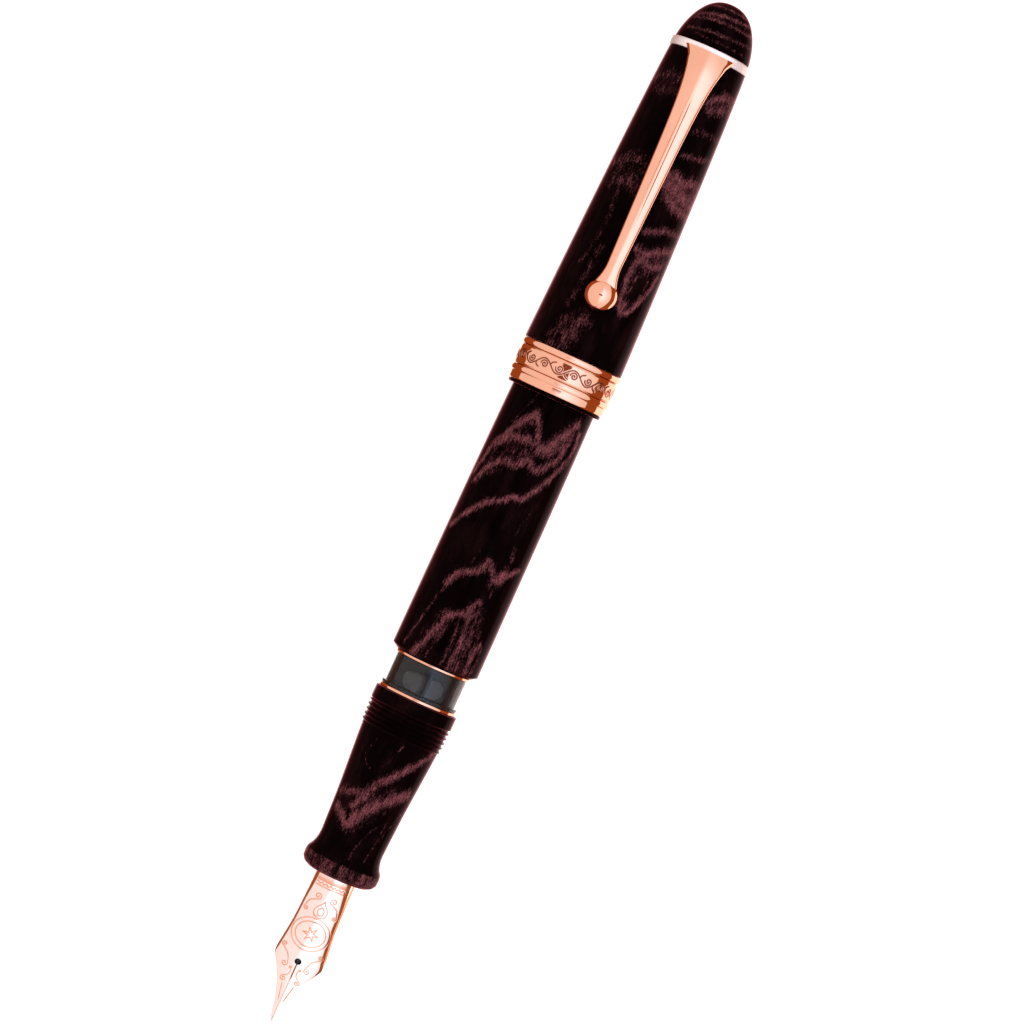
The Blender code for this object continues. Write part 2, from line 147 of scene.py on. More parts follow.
def resin_material():
    """Near-black resin with dusty burgundy veins: the attribute places them and noise frays them into grain."""
    dark, vein_dark, vein_light = (0.0015, 0.0006, 0.0006), (0.115, 0.031, 0.035), (0.31, 0.092, 0.10)
    made, tree, shader = new_material(
        "veined_resin", Specular_IOR_Level=0.01, Specular_Tint=(1.0, 0.34, 0.42, 1.0),
        Sheen_Weight=1.0, Sheen_Roughness=0.23, Sheen_Tint=(1.0, 0.17, 0.22, 1.0))
    vein = node(tree, "ShaderNodeAttribute", attribute_name="vein").outputs["Fac"]
    fibre = noise(tree, stretched(tree, 800.0, 4600.0), 1.0, 3.0, 0.65)
    speck = noise(tree, stretched(tree, 3600.0, 5200.0), 1.0, 3.0, 0.7)
    grain = noise(tree, stretched(tree, 6500.0, 9000.0), 1.0, 2.0, 0.6)
    cloud = noise(tree, stretched(tree, 190.0, 420.0), 1.0, 3.0)
    patch = noise(tree, stretched(tree, 620.0, 900.0), 1.0, 2.0)
    # Each noise is added about its middle, so that it frays a vein's edge both ways.
    frayed = math_node(tree, "MULTIPLY_ADD", fibre, 1.15, math_node(tree, "MULTIPLY_ADD", vein, 0.66, -0.575))
    patched = math_node(tree, "MULTIPLY_ADD", patch, 0.5, math_node(tree, "ADD", frayed, -0.25))
    grained = math_node(tree, "MULTIPLY_ADD", speck, 1.3, math_node(tree, "ADD", patched, -0.65))
    mask = math_node(tree, "MULTIPLY", map_range(tree, grained, 0.16, 0.95), map_range(tree, vein, 0.03, 0.2))
    # Faint haze between the veins.
    haze = map_range(tree, math_node(tree, "MULTIPLY_ADD", fibre, 0.5, cloud), 0.72, 1.0, 0.0, 0.025)
    amount = math_node(tree, "MAXIMUM", mask, haze)
    tone = mix_colour(tree, map_range(tree, grain, 0.36, 0.66), vein_dark, vein_light)
    colour = mix_colour(tree, amount, dark, tone)
    tree.links.new(colour, shader.inputs["Base Color"])
    tree.links.new(map_range(tree, cloud, 0.3, 0.7, 0.05, 0.085), shader.inputs["Roughness"])
    return made


def gold_material(name, colour, patina_and_painted_light, roughness):
    """Polished rose gold with fine wear. The attribute marks darker patina in engraved grooves and, on the nib,
    painted shade along the slit and a painted reflection on the turned-down sides.
    """
    made, tree, shader = new_material(name, Metallic=1.0, Specular_Tint=(1.0, 0.93, 0.88, 1.0))
    groove = node(tree, "ShaderNodeAttribute", attribute_name="groove").outputs["Fac"]
    wear = noise(tree, stretched(tree, 260.0, 260.0), 1.0, 3.0)
    hair = noise(tree, stretched(tree, 500.0, 6500.0), 1.0, 2.0)
    shade = mix_colour(tree, map_range(tree, wear, 0.3, 0.7), colour, [c * 0.95 for c in colour])
    tree.links.new(mix_colour(tree, groove, shade, patina_and_painted_light), shader.inputs["Base Color"])
    uneven = math_node(tree, "MULTIPLY_ADD", hair, 0.04, roughness)
    tree.links.new(math_node(tree, "MULTIPLY_ADD", groove, 0.3, uneven), shader.inputs["Roughness"])
    return made


def plain_material(name, colour, roughness, fleck, metallic=0.0, along=900.0, across=900.0):
    """Moulded plastic, rubber or turned metal: fine variation in tone and gloss, and a faint surface texture.
    fleck is how much lighter the light grains are; along and across are the grain's cells per metre."""
    made, tree, shader = new_material(name, Metallic=metallic)
    grain = noise(tree, stretched(tree, along, across), 1.0, 3.0)
    lighter = [min(1.0, c * (1 + fleck)) for c in colour]
    tone = mix_colour(tree, map_range(tree, grain, 0.35, 0.65), colour, lighter)
    tree.links.new(tone, shader.inputs["Base Color"])
    tree.links.new(map_range(tree, grain, 0.3, 0.7, roughness, roughness + 0.08), shader.inputs["Roughness"])
    bump(tree, shader, grain, 0.000004)
    return made


def window_material():
    """Smoked clear plastic with a slightly uneven tint."""
    made, tree, shader = new_material("smoked_clear", Transmission_Weight=0.97, IOR=1.30, Roughness=0.04)
    where = node(tree, "ShaderNodeTexCoord").outputs["Object"]
    tint = noise(tree, where, 300.0)
    colour = mix_colour(tree, map_range(tree, tint, 0.3, 0.7), (0.29, 0.29, 0.29), (0.32, 0.32, 0.32))
    tree.links.new(colour, shader.inputs["Base Color"])
    return made


BROWN_PATINA = (0.16, 0.022, 0.008)
RESIN = resin_material()
ROSE_GOLD = gold_material("rose_gold_polished", (0.93, 0.50, 0.345), BROWN_PATINA, 0.05)
# The clip ring's rose gold is painted near-white and rough: a painted highlight in place of the white reflection
# of polished rose gold.
PAINTED_HIGHLIGHT_GOLD = gold_material("rose_gold_painted_highlight", (1.0, 0.97, 0.96), BROWN_PATINA, 0.55)
# The nib's orange-brown is patina in the engraving, and painted shade and painted reflection along the slit and
# on the turned-down sides.
NIB_GOLD = gold_material("nib_gold_polished", (0.98, 0.85, 0.79), (0.88, 0.30, 0.12), 0.07)
BLACK = plain_material("black_moulded", (0.010, 0.0095, 0.0095), 0.28, 0.5)
DOME = plain_material("grey_moulded", (0.62, 0.62, 0.63), 0.4, 0.2)
INK = plain_material("black_ink", (0.002, 0.002, 0.0022), 0.08, 0.5, along=120.0, across=120.0)
BRASS = plain_material("turned_brass", (0.72, 0.50, 0.24), 0.25, 0.1, metallic=1.0, along=6000.0, across=120.0)
RUBBER = plain_material("black_rubber", (0.018, 0.018, 0.018), 0.55, 0.4)
TIPPING = plain_material("tipping_metal", (0.74, 0.72, 0.69), 0.16, 0.1, metallic=1.0)
CLEAR = window_material()


# ---- Mesh builders ------------------------------------------------------------------------------------------

def piece(name, verts, faces, material, body, replaced=(), values=None, sharp=32.0, weld=False):
    """Makes an object from points in metres and faces, and tells the frame its body and the nodes it replaces.
    values holds per-vertex attributes; edges sharper than sharp degrees stay hard; weld joins equal points."""
    mesh = bpy.data.meshes.new(name)
    mesh.from_pydata([tuple(v) for v in verts], [], [tuple(f) for f in faces])
    for key, data in (values or {}).items():
        mesh.attributes.new(key, "FLOAT", "POINT").data.foreach_set("value", np.asarray(data, np.float32))
    bm = bmesh.new()
    bm.from_mesh(mesh)
    if weld:
        bmesh.ops.remove_doubles(bm, verts=bm.verts, dist=1e-8)
    bmesh.ops.recalc_face_normals(bm, faces=bm.faces)
    if bm.calc_volume(signed=True) < 0:
        bmesh.ops.reverse_faces(bm, faces=bm.faces)
    bm.to_mesh(mesh)
    bm.free()
    mesh.shade_smooth()
    mesh.set_sharp_from_angle(angle=math.radians(sharp))
    mesh.materials.append(material)
    made = bpy.data.objects.new(name, mesh)
    bpy.context.scene.collection.objects.link(made)
    if body:
        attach(made, body)
    if replaced:
        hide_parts(*replaced)
    return made


def rounded(points, radii, steps=4):
    """Rounds each inner corner of an outline by a small curve; radii is one number or one for each point."""
    if isinstance(radii, (int, float)):
        radii = [radii] * len(points)
    out = [points[0]]
    for before, corner, after, r in zip(points, points[1:], points[2:], radii[1:-1]):
        before, corner, after = map(np.array, (before, corner, after))
        if r <= 0:
            out.append(tuple(corner))
            continue
        a, b = before - corner, after - corner
        la, lb = np.linalg.norm(a), np.linalg.norm(b)
        a, b = corner + a * min(r / la, 0.45), corner + b * min(r / lb, 0.45)
        for t in np.linspace(0, 1, steps + 1):
            out.append(tuple((1 - t) ** 2 * a + 2 * t * (1 - t) * corner + t * t * b))
    out.append(points[-1])
    return out


def tube_faces(rows, around):
    """Faces of a tube whose points come ring by ring, with one flat face at each end."""
    faces = []
    for i in range(rows - 1):
        for k in range(around):
            n = (k + 1) % around
            faces.append((i * around + k, i * around + n, (i + 1) * around + n, (i + 1) * around + k))
    return faces + [tuple(range(around)), tuple(range((rows - 1) * around, rows * around))]


def turned(name, outline, material, body, replaced=(), segments=128, shape=None, field=None, groove=None):
    """Turns a (station, radius) outline about the pen's axis. A closed outline makes a ring; one that starts
    or ends on the axis makes a solid. shape(s, angle, r) changes radii; field gives the vein attribute, and
    groove gives the attribute of patina and painted light."""
    closed = all(r > 0 for _, r in outline)
    angles = np.arange(segments) * math.tau / segments
    s_all, a_all, r_all, rings = [], [], [], []
    for s, r in outline:
        rings.append(len(s_all))
        around = angles if r > 0 else angles[:1]
        s_all += [s] * len(around)
        a_all += list(around)
        r_all += [r] * len(around)
    s_all, a_all, r_all = map(np.array, (s_all, a_all, r_all))
    if shape is not None:
        r_all = shape(s_all, a_all, r_all)
    verts = placed(s_all, r_all * np.sin(a_all), r_all * np.cos(a_all))
    faces = []
    count = len(outline)
    for i in range(count if closed else count - 1):
        j = (i + 1) % count
        a0, b0 = rings[i], rings[j]
        for k in range(segments):
            n = (k + 1) % segments
            if outline[i][1] <= 0:
                faces.append((a0, b0 + n, b0 + k))
            elif outline[j][1] <= 0:
                faces.append((a0 + k, a0 + n, b0))
            else:
                faces.append((a0 + k, a0 + n, b0 + n, b0 + k))
    values = {}
    wrapped = (a_all + math.pi) % math.tau - math.pi
    if material == RESIN:
        values["vein"] = field(s_all, wrapped, r_all) if field else np.zeros(len(s_all))
    if material in (ROSE_GOLD, PAINTED_HIGHLIGHT_GOLD, NIB_GOLD):
        values["groove"] = groove(s_all, wrapped, r_all) if groove else np.zeros(len(s_all))
    return piece(name, verts, faces, material, body, replaced, values)


# ---- Veins --------------------------------------------------------------------------------------------------

def smooth_line(points, step=0.25):
    """A smooth curve through the points, as an array of points about a step apart."""
    p = np.array([points[0], *points, points[-1]], float)
    out = []
    for k in range(1, len(p) - 2):
        count = max(2, int(np.linalg.norm(p[k + 1] - p[k]) / step))
        t = np.linspace(0, 1, count, endpoint=False)[:, None]
        out.append(0.5 * (2 * p[k] + (p[k + 1] - p[k - 1]) * t
                          + (2 * p[k - 1] - 5 * p[k] + 4 * p[k + 1] - p[k + 2]) * t ** 2
                          + (3 * p[k] - p[k - 1] - 3 * p[k + 1] + p[k + 2]) * t ** 3))
    out.append(p[-2:-1])
    return np.concatenate(out)


def vein_field(veins, radius_at):
    """Strength of the veins at (station, angle). They are drawn as seen from above; the underside repeats them
    mirrored and drifting along the pen."""
    lines = []
    for width, strength, points in veins:
        line = smooth_line(points)
        r = np.array([radius_at(s) for s in line[:, 0]])
        line[:, 1] = r * np.arcsin(np.clip(line[:, 1] / r, -1, 1))
        lines.append((width, strength, line))

    def field(s, angle, r):
        under = np.abs(angle) > math.pi / 2
        drift = 5.0 * np.clip(-np.cos(angle), 0, 1) ** 1.5
        s = s + np.where(under, drift * np.sign(angle), 0.0)
        angle = np.where(under, np.sign(angle) * (math.pi - np.abs(angle)), angle)
        arc = angle * r
        total = np.zeros(len(s))
        for width, strength, line in lines:
            near = np.abs(s - line[:, 0].mean()) < np.ptp(line[:, 0]) / 2 + 3.2 * width
            where = np.flatnonzero(near)
            for part in np.array_split(where, max(1, len(where) // 4000)):
                gap = (s[part, None] - line[None, :, 0]) ** 2 + (arc[part, None] - line[None, :, 1]) ** 2
                total[part] = np.maximum(total[part], strength * np.exp(-gap.min(axis=1) / (1.2 * width) ** 2))
        return total

    return field


# Each vein is (width, strength, [(station, across), ...]).
FINIAL_VEINS = [
    (0.25, 0.70, [(1.25, -2.6), (1.05, 0.0), (1.2, 2.6)]),
    (0.32, 0.80, [(2.1, 3.4), (2.25, 0.6), (2.7, -2.4), (3.2, -3.8)]),
    (0.28, 0.68, [(3.35, 4.4), (3.2, 1.5), (3.4, -1.8), (3.9, -4.2)]),
    (0.24, 0.66, [(4.8, 5.1), (5.0, 2.2), (5.15, -1.0), (5.5, -4.4)]),
    (0.18, 0.45, [(6.2, 5.4), (6.3, 3.0), (6.1, -3.2)]),
]

CAP_VEINS = [
    (0.8, 0.80, [(12.4, 5.9), (12.8, 4.5), (13.6, 3.3), (14.6, 2.3)]),
    (0.8, 0.78, [(14.2, 6.0), (14.6, 4.6), (15.4, 3.2)]),
    (0.9, 0.44, [(12.9, -1.8), (12.6, -3.2), (13.2, -4.6), (14.0, -5.7)]),
    (0.8, 0.40, [(14.6, -2.2), (15.2, -3.6), (15.4, -5.2)]),
    (0.5, 0.42, [(18.6, 6.2), (18.4, 4.6), (18.8, 2.6)]),
    (0.45, 0.62, [(21.6, 6.3), (22.0, 5.0), (22.4, 3.4), (22.6, 2.2)]),
    (0.9, 0.85, [(26.0, 6.6), (25.8, 5.4), (26.2, 4.0), (25.8, 2.6), (26.0, 1.4)]),
    (1.2, 0.95, [(28.4, 6.6), (28.2, 5.2), (27.6, 3.8), (27.4, 2.4), (27.0, 1.4)]),
    (0.9, 0.85, [(30.2, 6.7), (30.0, 5.4), (29.4, 4.0), (28.8, 2.9)]),
    (1.2, 0.44, [(26.5, -1.6), (25.6, -3.2), (26.2, -4.8), (27.0, -6.2)]),
    (1.1, 0.46, [(29.5, -1.8), (29.0, -3.6), (29.6, -5.4)]),
    (0.55, 0.80, [(33.0, 6.8), (33.2, 5.6), (33.3, 4.5), (34.0, 3.1), (34.5, 1.9)]),
    (0.7, 0.85, [(35.4, 6.6), (36.2, 5.2), (36.9, 4.2), (37.4, 3.2), (37.2, 1.9)]),
    (0.7, 0.80, [(38.0, 6.0), (38.6, 5.0), (38.4, 3.8), (37.9, 2.6)]),
    (0.5, 0.90, [(39.4, 6.2), (41.8, 5.9), (44.0, 5.2), (45.6, 4.5), (46.1, 3.6), (45.1, 2.9), (42.8, 2.6),
                 (40.4, 2.4), (38.2, 2.7)]),
    (0.25, 0.55, [(40.6, 5.2), (42.6, 5.2), (44.2, 4.5), (44.9, 3.9)]),
    (0.3, 0.58, [(39.6, 3.9), (41.4, 3.5), (43.6, 3.3), (45.0, 3.4)]),
    (0.7, 0.85, [(45.0, 3.4), (46.2, 3.6)]),
    (0.4, 0.34, [(31.0, -4.0), (36.0, -3.6), (42.0, -4.6)]),
    (0.5, 0.40, [(39.0, -2.8), (43.0, -3.1), (48.0, -3.7)]),
    (1.2, 0.58, [(49.4, -1.0), (51.4, -1.6), (53.6, -2.0)]),
    (0.9, 0.48, [(50.4, -2.9), (52.4, -3.6), (54.0, -3.9)]),
    (1.2, 0.60, [(13.4, 5.8), (14.0, 4.4), (15.0, 3.0)]),
    (1.6, 0.30, [(13.6, -2.0), (13.4, -3.8), (13.8, -5.5)]),
    (1.6, 0.74, [(27.4, 6.4), (28.0, 4.4), (27.2, 2.0)]),
    (2.2, 0.33, [(27.4, -2.0), (27.6, -4.0), (27.4, -5.8)]),
    (1.5, 0.58, [(37.6, 5.8), (38.6, 4.6), (38.6, 3.0)]),
    (1.5, 0.36, [(49.8, -1.4), (51.6, -2.2), (53.9, -2.4)]),
]

BARREL_VEINS = [
    (0.8, 0.95, [(63.2, 4.6), (64.6, 3.8), (66.2, 3.1), (67.9, 1.8), (68.6, 1.0)]),
    (0.5, 0.85, [(68.6, 1.0), (66.7, 0.1), (64.8, -0.7), (63.9, -1.4), (65.5, -2.5), (67.4, -3.7), (69.8, -4.9),
                 (72.6, -5.6), (74.9, -6.0)]),
    (0.8, 0.82, [(68.2, 0.9), (67.9, -0.7), (68.1, -2.3), (68.6, -3.7), (70.2, -4.9)]),
    (0.5, 0.92, [(64.2, 5.3), (66.4, 5.6), (68.6, 5.2), (70.7, 4.5), (72.6, 3.7), (74.5, 2.6), (75.9, 1.5),
                 (75.9, 0.5), (77.1, -0.7), (77.8, -2.1), (79.4, -3.7), (81.1, -4.9), (83.2, -5.9)]),
    (0.6, 0.85, [(66.2, 4.4), (68.6, 4.1), (70.2, 2.9), (71.4, 1.7), (70.4, 0.4), (71.6, -1.1), (71.9, -2.8),
                 (73.3, -4.4), (75.9, -5.4)]),
    (0.5, 0.92, [(85.1, 5.5), (86.7, 4.3), (87.9, 3.3), (86.7, 2.2), (85.6, 1.2), (87.5, 0.3), (88.2, -1.1),
                 (89.1, -2.3), (91.0, -3.0)]),
    (0.22, 0.60, [(91.0, -3.0), (93.8, -3.7), (97.1, -4.3)]),
    (0.8, 0.88, [(86.4, 3.9), (87.4, 3.3)]),
    (0.22, 0.50, [(87.9, 3.3), (90.0, 3.4)]),
    (0.45, 0.80, [(101.6, 2.1), (97.6, 2.3), (94.6, 1.9), (92.6, 1.6), (91.4, 2.2)]),
    (0.55, 0.85, [(94.1, 1.9), (93.9, 0.8), (94.8, -0.7), (96.9, -1.6), (99.5, -2.5), (101.7, -3.4)]),
    (0.35, 0.60, [(101.6, 3.2), (98.4, 3.1), (95.6, 3.1), (92.6, 2.8), (91.0, 2.3)]),
    (0.5, 0.80, [(101.5, 4.5), (98.6, 4.5), (97.0, 4.9)]),
    (0.3, 0.60, [(101.5, 5.3), (99.0, 5.4), (97.4, 5.3)]),
    (0.3, 0.50, [(95.2, 4.1), (97.1, 4.2), (99.0, 4.0)]),
    (0.3, 0.50, [(101.5, 0.9), (98.0, 1.1), (95.4, 0.8)]),
    (0.3, 0.45, [(101.5, -1.4), (98.6, -1.0), (95.8, -0.3)]),
    (0.14, 0.50, [(60.8, -2.2), (63.6, -3.0), (66.4, -4.1)]),
    (0.14, 0.42, [(75.4, 4.3), (78.0, 3.4), (81.1, 2.9)]),
    (0.14, 0.40, [(84.4, -0.5), (87.0, -1.0)]),
    (0.25, 0.55, [(92.9, -3.5), (97.6, -4.4), (101.0, -5.1)]),
    (0.35, 0.50, [(82.4, 3.7), (84.2, 4.1)]),
    (1.1, 0.66, [(63.8, 4.6), (66.6, 3.8), (68.4, 1.8)]),
    (1.2, 0.42, [(69.6, -0.2), (71.2, -2.4), (73.4, -4.6)]),
    (0.9, 0.46, [(65.6, -1.8), (67.4, -2.6), (69.6, -4.2)]),
    (1.1, 0.46, [(93.0, 2.5), (97.2, 3.0), (101.6, 3.1)]),
    (1.0, 0.46, [(94.8, -1.0), (98.0, -2.1), (101.6, -3.0)]),
    (0.9, 0.62, [(86.2, 3.8), (88.0, 3.1)]),
    (0.7, 0.80, [(42.0, 4.6), (44.6, 2.6), (46.4, 0.4), (48.8, -1.8), (50.4, -4.4)]),
    (0.5, 0.75, [(50.0, 5.0), (52.8, 3.4), (54.0, 1.0), (56.8, -1.2), (58.6, -4.2)]),
]

GRIP_VEINS = [
    (0.6, 0.88, [(113.9, 5.2), (115.6, 4.1), (117.7, 2.4), (119.4, 1.0), (120.8, -0.2), (123.1, -1.1),
                 (124.8, -2.1)]),
    (0.75, 0.70, [(122.6, -1.6), (123.0, -2.8), (123.6, -4.4)]),
    (0.85, 0.95, [(120.5, 4.5), (121.7, 2.9), (123.6, 1.0), (125.5, -0.7), (127.6, -1.6)]),
    (0.75, 0.80, [(127.8, -1.7), (126.9, -2.8), (125.7, -4.2)]),
    (0.14, 0.45, [(114.2, 1.0), (117.7, -0.4), (119.1, -1.8), (117.5, -3.4), (114.9, -2.8)]),
    (0.14, 0.60, [(125.3, 3.3), (127.0, 1.9), (129.8, 0.8), (131.9, 0.5)]),
    (0.14, 0.50, [(125.3, 3.3), (128.2, 3.1), (131.7, 2.6)]),
    (0.2, 0.50, [(122.9, 4.8), (126.0, 3.9), (129.3, 3.0)]),
    (1.2, 0.60, [(121.4, 2.8), (124.2, 0.4), (126.8, -1.6)]),
]

KNOB_VEINS = [
    (0.6, 0.80, [(29.4, 3.6), (31.2, 2.0), (32.6, -0.6), (34.4, -3.0)]),
    (0.5, 0.85, [(34.8, 4.4), (36.2, 2.0), (37.2, -1.0), (38.8, -3.6)]),
    (0.2, 0.50, [(31.4, 4.4), (34.0, 2.8), (35.0, 0.6)]),
]


# ---- Cap ----------------------------------------------------------------------------------------------------

def cap_radius(s):
    """Outside of the cap from the clip's ring to the band."""
    return 5.75 + 1.68 * ((s - 8.3) / 46.2) ** 0.74


def finial_radius(s):
    """Outside of the domed crown."""
    return 5.72 * (1 - (1 - s / 8.0) ** 1.73) ** (1 / 2.33)


def make_cap():
    """Crown, clip ring, shell with its inner thread, the band's two outer rings, and the lip."""
    top = [7.16 * (k / 46) ** 2 for k in range(47)]
    dome = [(s, finial_radius(s)) for s in top]
    dome[0] = (0.0, 0.0)
    turned("finial_shell", dome + [(7.18, 3.86), (3.3, 3.85), (3.3, 0.0)], RESIN, "cap", ["finial"], 192,
           field=vein_field(FINIAL_VEINS, finial_radius))
    ring = rounded([(7.2, 3.86), (7.2, 5.83), (7.4, 5.94), (8.3, 5.95), (8.52, 5.86), (8.52, 3.86)], 0.12)
    # The ring takes the near-white gold, a painted highlight.
    turned("clip_ring", ring, PAINTED_HIGHLIGHT_GOLD, "cap", ["clip_collar"], 160)

    outer = [(s, cap_radius(s)) for s in np.arange(8.66, 54.3, 0.24)]
    outer = [(8.55, 5.70), (8.57, 5.745)] + outer + [(54.46, 7.42), (54.5, 7.38)]
    sleeve = [(54.5, 6.85), (60.7, 6.85), (60.7, 6.34), (52.6, 6.34), (52.4, 6.29)]
    thread = []
    for k in range(12):
        middle = 51.8 - 0.28 * k
        thread += [(middle + 0.1, 6.27), (middle, 6.10), (middle - 0.1, 6.27)]
    bore = [(48.3, 5.98), (27.4, 5.8), (27.4, 5.72), (25.9, 5.72), (25.9, 5.16), (8.55, 5.16)]
    turned("cap_shell", outer + sleeve + thread + bore, RESIN, "cap", ["cap_body"], 256,
           field=vein_field(CAP_VEINS, cap_radius))

    inner = 6.9
    rear = [(54.55, inner), (54.55, 7.36), (54.72, 7.5), (55.02, 7.56), (55.32, 7.5), (55.5, 7.36),
            (55.53, inner)]
    turned("band_ring_rear", rounded(rear, 0.16), ROSE_GOLD, "cap", ["band_rear_ring"], 192)
    front = [(58.55, inner), (58.55, 7.38), (58.72, 7.5), (59.05, 7.57), (59.38, 7.5), (59.5, 7.34),
             (59.6, 7.30), (60.5, 7.28), (60.66, 7.16), (60.66, inner)]
    turned("band_ring_front", rounded(front, 0.12), ROSE_GOLD, "cap", ["band_front_ring"], 192)
    lip = [(60.72, 6.34), (60.72, 7.06), (61.06, 7.06), (61.2, 6.92), (61.2, 6.34)]
    turned("cap_lip", rounded(lip, 0.06), RESIN, "cap", ["cap_lip_ring"], 160)


def spiral(centre, size, turns, start, turning, points=40):
    """A flat spiral that starts at its outer end, at the angle start; turning is +1 or -1."""
    t = np.linspace(0, 1, points)
    r = size * (1 - 0.86 * t)
    angle = start + turning * math.tau * turns * t
    return np.stack([centre[0] + r * np.cos(angle), centre[1] + r * np.sin(angle)], axis=1)


def line_depth(a, b, lines, half):
    """How deep a graver's line is at each (a, b), 0 to 1, for lines of half-width half."""
    depth = np.zeros(len(a))
    for line in lines:
        low, high = line.min(axis=0) - 2 * half, line.max(axis=0) + 2 * half
        where = np.flatnonzero((a > low[0]) & (a < high[0]) & (b > low[1]) & (b < high[1]))
        for part in np.array_split(where, max(1, len(where) // 4000)):
            gap = (a[part, None] - line[None, :, 0]) ** 2 + (b[part, None] - line[None, :, 1]) ** 2
            near = np.sqrt(gap.min(axis=1)) / half
            depth[part] = np.maximum(depth[part], np.clip(1.5 - near, 0, 1))
    return depth


def band_lines():
    """One running scroll round the band, as (station, arc length) lines."""
    waves, middle, swing = 10, 57.04, 0.72
    half = math.pi * BAND_RADIUS / waves
    lines = []
    for k in range(-waves - 1, waves + 1):
        side = 1 if k % 2 else -1
        t = np.linspace(0, 1, 40)
        lines.append(np.stack([middle + swing * side * np.sin(math.pi * t), (k + t) * half], axis=1))
        lines.append(spiral((middle - 0.10 * side, (k + 0.56) * half), 0.60, 1.5, -math.pi / 2, side, 60))
        bud = [(middle + 0.15 * side, (k + 0.93) * half), (middle + 0.52 * side, (k + 1.0) * half),
               (middle + 0.78 * side, (k + 1.22) * half)]
        lines.append(smooth_line(bud, 0.05))
    return lines


def make_centre_band():
    """Flat engraved band between two raised fillet lines."""
    def profile(s):
        fillets = 0.09 * (np.exp(-((s - 55.72) / 0.07) ** 2) + np.exp(-((s - 58.36) / 0.07) ** 2))
        return BAND_RADIUS + fillets

    lines = band_lines()

    def cut(s, angle, r):
        return line_depth(s, angle * BAND_RADIUS, lines, 0.095) * ((s > 55.9) & (s < 58.2) & (r > 7.2))

    def shape(s, angle, r):
        wrapped = (angle + math.pi) % math.tau - math.pi
        return r - 0.05 * cut(s, wrapped, r)

    stations = np.arange(55.6, 58.47, 0.055)
    outer = [(s, float(profile(s))) for s in stations]
    outline = [(55.56, 6.9), (55.56, 7.38)] + outer + [(58.5, 7.38), (58.5, 6.9)]
    turned("band_engraved", outline, ROSE_GOLD, "cap", ["band_centre"], 900, shape=shape, groove=cut)


# ---- Clip ---------------------------------------------------------------------------------------------------

def clip_half_width(s):
    """Half the arm's width: flared at its root, slim in the middle, a little wider where it meets the ball."""
    foot, neck = 9.8, 1.05
    if s <= foot:
        return 2.8 + 1.05 * ((foot - s) / 1.9) ** 1.6
    share = max(0.0, (41.0 - s) / 31.2)
    return neck + 0.85 * share + 0.9 * share ** 9 + 0.55 * (max(0.0, s - 40.6) / 2.9) ** 2


def clip_top(s):
    """Height of the arm's crown above the axis."""
    if s <= 12.0:
        return 6.75 + 1.3 * math.sin(math.pi / 2 * (s - 7.9) / 4.1)
    return 8.05 + 1.25 * (s - 12.0) / 29.0


def clip_section(s):
    """(across, up) points round the arm: crowned, with a raised line, bevelled edges and a flat underside."""
    half, top = clip_half_width(s), clip_top(s)
    wrap = max(0.0, 1 - (s - 7.45) / 7.5) ** 1.5
    line = min(1.0, max(0.0, (s - 13.5) / 6.0)) * min(1.0, max(0.0, (36.5 - s) / 13.0))
    bevel = 0.23 + 0.30 * max(0.0, 1 - (s - 7.45) / 2.2)
    flat = half - bevel
    beside_line = [0.0, 0.07, 0.12, 0.15, 0.18, 0.21, 0.24, 0.27, 0.30, 0.33, 0.36]
    right = []
    for x in beside_line + [0.36 + (flat - 0.36) * k / 8 for k in range(1, 9)]:
        share = min(1.0, max(0.0, (0.33 - x) / 0.18))
        right.append((x, top - 0.16 * flat * (x / flat) ** 2 + 0.27 * line * share * share * (3 - 2 * share)))
    x, up = right[-1]
    for k in range(5):
        x += bevel / 5
        up -= bevel / 5 * math.tan(math.radians(44 + 5 * k))
        right.append((x, up))
    right += [(half, up - 0.1), (half - 0.02, min(up - 0.15, top - 0.95)), (0.8 * half, top - 1.0)]
    points = [(-x, up) for x, up in reversed(right[1:])] + right
    return [(x, up - wrap * (6.6 - math.sqrt(max(0.1, 6.6 ** 2 - x ** 2)))) for x, up in points]


